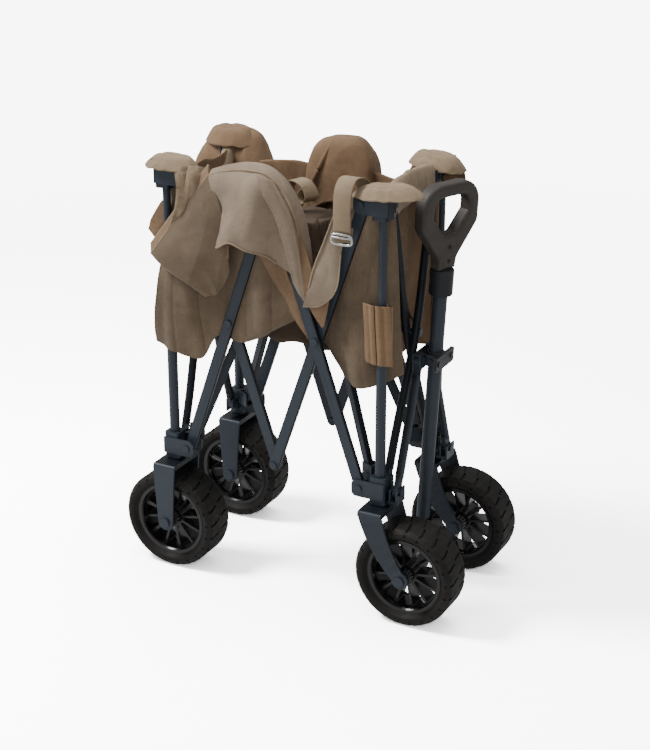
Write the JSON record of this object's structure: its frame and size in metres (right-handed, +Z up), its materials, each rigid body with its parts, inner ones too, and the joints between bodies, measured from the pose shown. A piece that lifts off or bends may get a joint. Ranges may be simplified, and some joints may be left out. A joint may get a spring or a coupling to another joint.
{
  "type": "folding camp wagon",
  "caption": "Folding utility wagon, half folded: crossed scissor frame, telescoping corner posts, canvas basket, casters in front and a telescoping pull handle.",
  "frame": {"origin": "on the ground under the middle of the bounding box, between the four wheels", "axes": "+X towards the casters and the pull handle, +Y towards the wagon's left, +Z up"},
  "size_m": [0.6472, 0.3212, 0.7554],
  "materials": {
    "frame_paint": "satin navy-charcoal powder coat",
    "bracket": "satin powder coat",
    "tyre": "matt rubber with moulded lugs",
    "rim": "gloss moulded plastic",
    "fabric": "heavy woven canvas",
    "grip": "soft matt moulding",
    "collar": "fine grained moulding",
    "inner_tube": "satin"
  },
  "bodies": {
    "rear_right_corner": {"rear_right_low_bracket": "bracket", "rear_right_post_tube": "frame_paint", "rear_right_fork": "frame_paint"},
    "rear_right_top": {"rear_right_high_bracket": "bracket", "rear_right_post_rod": "frame_paint"},
    "rear_right_wheel": {"rear_right_tyre": "tyre", "rear_right_rim": "rim"},
    "rear_right_arm": {"floor_arm_rear_right": "frame_paint"},
    "rear_left_corner": {"rear_left_low_bracket": "bracket", "rear_left_post_tube": "frame_paint", "rear_left_fork": "frame_paint"},
    "rear_left_top": {"rear_left_high_bracket": "bracket", "rear_left_post_rod": "frame_paint"},
    "rear_left_wheel": {"rear_left_tyre": "tyre", "rear_left_rim": "rim"},
    "rear_left_arm": {"floor_arm_rear_left": "frame_paint"},
    "front_right_corner": {"front_right_low_bracket": "bracket", "front_right_post_tube": "frame_paint"},
    "front_right_top": {"front_right_high_bracket": "bracket", "front_right_post_rod": "frame_paint"},
    "right_caster": {"front_right_fork": "frame_paint"},
    "front_right_wheel": {"front_right_tyre": "tyre", "front_right_rim": "rim"},
    "front_right_arm": {"floor_arm_front_right": "frame_paint"},
    "front_left_corner": {"front_left_low_bracket": "bracket", "front_left_post_tube": "frame_paint"},
    "front_left_top": {"front_left_high_bracket": "bracket", "front_left_post_rod": "frame_paint"},
    "left_caster": {"front_left_fork": "frame_paint"},
    "front_left_wheel": {"front_left_tyre": "tyre", "front_left_rim": "rim"},
    "front_left_arm": {"floor_arm_front_left": "frame_paint"},
    "right_rear_rising": {"right_bar_rear_rising": "frame_paint"},
    "right_rear_falling": {"right_bar_rear_falling": "frame_paint"},
    "right_rear_wall": {"right_wall_rear": "fabric"},
    "right_front_rising": {"right_bar_front_rising": "frame_paint"},
    "right_front_falling": {"right_bar_front_falling": "frame_paint"},
    "right_front_wall": {"right_wall_front": "fabric"},
    "left_rear_rising": {"left_bar_rear_rising": "frame_paint"},
    "left_rear_falling": {"left_bar_rear_falling": "frame_paint"},
    "left_rear_wall": {"left_wall_rear": "fabric"},
    "left_front_rising": {"left_bar_front_rising": "frame_paint"},
    "left_front_falling": {"left_bar_front_falling": "frame_paint"},
    "left_front_wall": {"left_wall_front": "fabric"},
    "rear_tube_right": {"rear_tube_from_right": "frame_paint"},
    "rear_tube_left": {"rear_tube_from_left": "frame_paint"},
    "rear_end_wall": {"rear_wall": "fabric"},
    "front_tube_right": {"front_tube_from_right": "frame_paint"},
    "front_tube_left": {"front_tube_from_left": "frame_paint"},
    "front_end_wall": {"front_wall": "fabric"},
    "link_right": {"link_tube_right": "frame_paint"},
    "link_left": {"link_tube_left": "frame_paint"},
    "link_centre": {"link_bracket": "bracket"},
    "guide": {"handle_guide": "bracket"},
    "outer_tube": {"handle_outer_tube": "frame_paint", "handle_collar": "collar"},
    "inner_tube": {"handle_inner_tube": "inner_tube", "grip": "grip"},
    "button": {"collar_button": "collar"},
    "hub": {"floor_hub": "bracket"}
  },
  "joints": [
    {"name": "fold", "type": "hinge", "parent": "rear_right_corner", "child": "right_rear_rising", "pos_m": [-0.20042, -0.11336, 0.232], "axis": [0, -1, 0], "range_deg": [-33, 9]},
    {"name": "right_rear_crossing", "type": "hinge", "parent": "right_rear_rising", "child": "right_rear_falling", "pos_m": [-0.11496, -0.11336, 0.4802], "axis": [0, -1, 0], "range_deg": [-18.01, 66.01]},
    {"name": "rear_right_top_pivot", "type": "hinge", "parent": "right_rear_falling", "child": "rear_right_top", "pos_m": [-0.20042, -0.11336, 0.7284], "axis": [0, -1, 0], "range_deg": [-33.01, 9.01]},
    {"name": "right_top_centre", "type": "hinge", "parent": "right_rear_rising", "child": "right_front_rising", "pos_m": [-0.0295, -0.11336, 0.7284], "axis": [0, -1, 0], "range_deg": [-18.01, 66.01]},
    {"name": "right_front_crossing", "type": "hinge", "parent": "right_front_rising", "child": "right_front_falling", "pos_m": [0.05596, -0.11336, 0.4802], "axis": [0, -1, 0], "range_deg": [-66.01, 18.01]},
    {"name": "front_right_low_pivot", "type": "hinge", "parent": "right_front_rising", "child": "front_right_corner", "pos_m": [0.14142, -0.11336, 0.232], "axis": [0, -1, 0], "range_deg": [-33.01, 9.01]},
    {"name": "front_right_top_pivot", "type": "hinge", "parent": "right_front_falling", "child": "front_right_top", "pos_m": [0.14142, -0.11336, 0.7284], "axis": [0, -1, 0], "range_deg": [-9.01, 33.01]},
    {"name": "front_tube_right_pivot", "type": "hinge", "parent": "front_right_corner", "child": "front_tube_right", "pos_m": [0.17422, -0.08546, 0.232], "axis": [1, 0, 0], "range_deg": [-33.01, 9.01]},
    {"name": "front_end_crossing", "type": "hinge", "parent": "front_tube_right", "child": "front_tube_left", "pos_m": [0.17422, 0, 0.4802], "axis": [1, 0, 0], "range_deg": [-18.01, 66.01]},
    {"name": "front_left_low_pivot", "type": "hinge", "parent": "front_tube_left", "child": "front_left_corner", "pos_m": [0.17422, 0.08546, 0.232], "axis": [1, 0, 0], "range_deg": [-33.01, 9.01]},
    {"name": "front_left_top_pivot", "type": "hinge", "parent": "front_tube_right", "child": "front_left_top", "pos_m": [0.17422, 0.08546, 0.7284], "axis": [1, 0, 0], "range_deg": [-9.01, 33.01]},
    {"name": "left_front_low_pivot", "type": "hinge", "parent": "front_left_corner", "child": "left_front_rising", "pos_m": [0.14142, 0.11336, 0.232], "axis": [0, -1, 0], "range_deg": [-9.01, 33.01]},
    {"name": "left_front_crossing", "type": "hinge", "parent": "left_front_rising", "child": "left_front_falling", "pos_m": [0.05596, 0.11336, 0.4802], "axis": [0, -1, 0], "range_deg": [-66.01, 18.01]},
    {"name": "left_top_centre", "type": "hinge", "parent": "left_front_rising", "child": "left_rear_rising", "pos_m": [-0.0295, 0.11336, 0.7284], "axis": [0, -1, 0], "range_deg": [-66.01, 18.01]},
    {"name": "left_rear_crossing", "type": "hinge", "parent": "left_rear_rising", "child": "left_rear_falling", "pos_m": [-0.11496, 0.11336, 0.4802], "axis": [0, -1, 0], "range_deg": [-18.01, 66.01]},
    {"name": "rear_left_low_pivot", "type": "hinge", "parent": "left_rear_rising", "child": "rear_left_corner", "pos_m": [-0.20042, 0.11336, 0.232], "axis": [0, -1, 0], "range_deg": [-9.01, 33.01]},
    {"name": "rear_left_top_pivot", "type": "hinge", "parent": "left_rear_falling", "child": "rear_left_top", "pos_m": [-0.20042, 0.11336, 0.7284], "axis": [0, -1, 0], "range_deg": [-33.01, 9.01]},
    {"name": "rear_tube_right_pivot", "type": "hinge", "parent": "rear_right_corner", "child": "rear_tube_right", "pos_m": [-0.23322, -0.08546, 0.232], "axis": [1, 0, 0], "range_deg": [-33.01, 9.01]},
    {"name": "rear_end_crossing", "type": "hinge", "parent": "rear_tube_right", "child": "rear_tube_left", "pos_m": [-0.23322, 0, 0.4802], "axis": [1, 0, 0], "range_deg": [-18.01, 66.01]},
    {"name": "rear_right_arm_pivot", "type": "hinge", "parent": "rear_right_corner", "child": "rear_right_arm", "pos_m": [-0.20042, -0.08546, 0.25], "axis": [0.4472, -0.8944, 0], "range_deg": [-59.41, 16.21]},
    {"name": "rear_left_arm_pivot", "type": "hinge", "parent": "rear_left_corner", "child": "rear_left_arm", "pos_m": [-0.20042, 0.08546, 0.25], "axis": [-0.4472, -0.8944, 0], "range_deg": [-59.41, 16.21]},
    {"name": "front_right_arm_pivot", "type": "hinge", "parent": "front_right_corner", "child": "front_right_arm", "pos_m": [0.14142, -0.08546, 0.25], "axis": [0.4472, 0.8944, 0], "range_deg": [-59.41, 16.21]},
    {"name": "front_left_arm_pivot", "type": "hinge", "parent": "front_left_corner", "child": "front_left_arm", "pos_m": [0.14142, 0.08546, 0.25], "axis": [-0.4472, 0.8944, 0], "range_deg": [-59.41, 16.21]},
    {"name": "hub_pivot", "type": "hinge", "parent": "rear_right_arm", "child": "hub", "pos_m": [-0.0617, -0.0161, 0.62413], "axis": [0.4472, -0.8944, 0], "range_deg": [-16.21, 59.41]},
    {"name": "link_right_foot", "type": "hinge", "parent": "front_right_corner", "child": "link_right", "pos_m": [0.20122, -0.10336, 0.228], "axis": [1, 0, 0], "range_deg": [-42.91, 11.71]},
    {"name": "link_right_bolt", "type": "hinge", "parent": "link_right", "child": "link_centre", "pos_m": [0.20122, -0.025, 0.43891], "axis": [1, 0, 0], "range_deg": [-11.71, 42.91]},
    {"name": "link_left_bolt", "type": "hinge", "parent": "link_centre", "child": "link_left", "pos_m": [0.20122, 0.025, 0.43891], "axis": [1, 0, 0], "range_deg": [-11.71, 42.91]},
    {"name": "caster_right", "type": "hinge", "parent": "front_right_corner", "child": "right_caster", "pos_m": [0.17422, -0.11336, 0.09], "axis": [0, 0, 1], "range_deg": [-180, 30]},
    {"name": "caster_left", "type": "hinge", "parent": "front_left_corner", "child": "left_caster", "pos_m": [0.17422, 0.11336, 0.09], "axis": [0, 0, 1], "range_deg": [-30, 180]},
    {"name": "rear_right_wheel_spin", "type": "hinge", "parent": "rear_right_corner", "child": "rear_right_wheel", "pos_m": [-0.23322, -0.11336, 0.09], "axis": [0, 1, 0], "continuous": true},
    {"name": "rear_left_wheel_spin", "type": "hinge", "parent": "rear_left_corner", "child": "rear_left_wheel", "pos_m": [-0.23322, 0.11336, 0.09], "axis": [0, 1, 0], "continuous": true},
    {"name": "front_right_wheel_spin", "type": "hinge", "parent": "right_caster", "child": "front_right_wheel", "pos_m": [0.23322, -0.11336, 0.09], "axis": [0, 1, 0], "continuous": true},
    {"name": "front_left_wheel_spin", "type": "hinge", "parent": "left_caster", "child": "front_left_wheel", "pos_m": [0.23322, 0.11336, 0.09], "axis": [0, 1, 0], "continuous": true},
    {"name": "handle_tilt", "type": "hinge", "parent": "link_centre", "child": "guide", "pos_m": [0.22022, 0, 0.43891], "axis": [0, -1, 0], "range_deg": [-30, 0]},
    {"name": "handle_lift", "type": "slide", "parent": "guide", "child": "outer_tube", "axis": [0.0523, 0, 0.9986], "range_m": [0, 0.24]},
    {"name": "handle_extend", "type": "slide", "parent": "outer_tube", "child": "inner_tube", "axis": [0.0523, 0, 0.9986], "range_m": [0, 0.3]},
    {"name": "collar_button_press", "type": "slide", "parent": "outer_tube", "child": "button", "axis": [0.9986, 0, -0.0523], "range_m": [0, 0.0012]},
    {"name": "right_rear_wall_spread", "type": "slide", "parent": "rear_right_top", "child": "right_rear_wall", "axis": [1, 0, 0], "range_m": [-0.06632, 0.24292], "deforming": ["right_wall_rear"]},
    {"name": "right_front_wall_spread", "type": "slide", "parent": "front_right_top", "child": "right_front_wall", "axis": [-1, 0, 0], "range_m": [-0.06632, 0.24292], "deforming": ["right_wall_front"]},
    {"name": "left_rear_wall_spread", "type": "slide", "parent": "rear_left_top", "child": "left_rear_wall", "axis": [1, 0, 0], "range_m": [-0.06632, 0.24292], "deforming": ["left_wall_rear"]},
    {"name": "left_front_wall_spread", "type": "slide", "parent": "front_left_top", "child": "left_front_wall", "axis": [-1, 0, 0], "range_m": [-0.06632, 0.24292], "deforming": ["left_wall_front"]},
    {"name": "rear_wall_spread", "type": "slide", "parent": "rear_right_top", "child": "rear_end_wall", "axis": [0, 1, 0], "range_m": [-0.06632, 0.24292], "deforming": ["rear_wall"]},
    {"name": "front_wall_spread", "type": "slide", "parent": "front_right_top", "child": "front_end_wall", "axis": [0, 1, 0], "range_m": [-0.06632, 0.24292], "deforming": ["front_wall"]}
  ],
  "couplings": [
    {"joint": "right_rear_crossing", "follows": "fold", "ratio": -2},
    {"joint": "rear_right_top_pivot", "follows": "fold", "ratio": 1},
    {"joint": "right_top_centre", "follows": "fold", "ratio": -2},
    {"joint": "right_front_crossing", "follows": "fold", "ratio": 2},
    {"joint": "front_right_low_pivot", "follows": "fold", "ratio": 1},
    {"joint": "front_right_top_pivot", "follows": "fold", "ratio": -1},
    {"joint": "front_tube_right_pivot", "follows": "fold", "ratio": 1},
    {"joint": "front_end_crossing", "follows": "fold", "ratio": -2},
    {"joint": "front_left_low_pivot", "follows": "fold", "ratio": 1},
    {"joint": "front_left_top_pivot", "follows": "fold", "ratio": -1},
    {"joint": "left_front_low_pivot", "follows": "fold", "ratio": -1},
    {"joint": "left_front_crossing", "follows": "fold", "ratio": 2},
    {"joint": "left_top_centre", "follows": "fold", "ratio": 2},
    {"joint": "left_rear_crossing", "follows": "fold", "ratio": -2},
    {"joint": "rear_left_low_pivot", "follows": "fold", "ratio": -1},
    {"joint": "rear_left_top_pivot", "follows": "fold", "ratio": 1},
    {"joint": "rear_tube_right_pivot", "follows": "fold", "ratio": 1},
    {"joint": "rear_end_crossing", "follows": "fold", "ratio": -2},
    {"joint": "rear_right_arm_pivot", "follows": "fold", "ratio": 1.8},
    {"joint": "rear_left_arm_pivot", "follows": "fold", "ratio": 1.8},
    {"joint": "front_right_arm_pivot", "follows": "fold", "ratio": 1.8},
    {"joint": "front_left_arm_pivot", "follows": "fold", "ratio": 1.8},
    {"joint": "hub_pivot", "follows": "fold", "ratio": -1.8},
    {"joint": "link_right_foot", "follows": "fold", "ratio": 1.3},
    {"joint": "link_right_bolt", "follows": "fold", "ratio": -1.3},
    {"joint": "link_left_bolt", "follows": "fold", "ratio": -1.3},
    {"joint": "right_rear_wall_spread", "follows": "fold", "m_per_rad": -0.4216},
    {"joint": "right_front_wall_spread", "follows": "fold", "m_per_rad": -0.4216},
    {"joint": "left_rear_wall_spread", "follows": "fold", "m_per_rad": -0.4216},
    {"joint": "left_front_wall_spread", "follows": "fold", "m_per_rad": -0.4216},
    {"joint": "rear_wall_spread", "follows": "fold", "m_per_rad": -0.4216},
    {"joint": "front_wall_spread", "follows": "fold", "m_per_rad": -0.4216}
  ]
}
